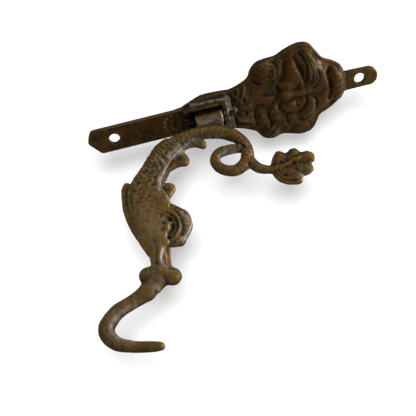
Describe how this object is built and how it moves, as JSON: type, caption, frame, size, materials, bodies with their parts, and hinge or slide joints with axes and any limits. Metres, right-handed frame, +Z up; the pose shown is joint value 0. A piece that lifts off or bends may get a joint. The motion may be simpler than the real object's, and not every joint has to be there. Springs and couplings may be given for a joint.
{
  "type": "swing-arm wall hook",
  "caption": "Cast brass wall hook: a narrow plate with a relief mask and a hinge housing, and a dolphin-shaped arm that swings on an upright pin and ends in an open hook.",
  "frame": {"origin": "on the flat back of the wall plate, on the strap's centre line, level with the middle of the hinge", "axes": "+Z up in use, towards the mask end; the front faces -Y, away from the wall; +X is to the right seen from the front"},
  "size_m": [0.075, 0.0868, 0.1388],
  "materials": {
    "plate_brass": "aged, dark brown patina, worn edges",
    "pin_brass": "aged, satin",
    "arm_brass": "aged olive-gold, traces of green in the recesses"
  },
  "bodies": {
    "bracket": {"wall_plate": "plate_brass", "hinge_pin": "pin_brass"},
    "arm": {"swing_arm": "arm_brass"}
  },
  "joints": [
    {"name": "arm_swing", "type": "hinge", "parent": "bracket", "child": "arm", "pos_m": [0, -0.0062, 0], "axis": [0, 0, 1], "range_deg": [-88, 22]}
  ]
}
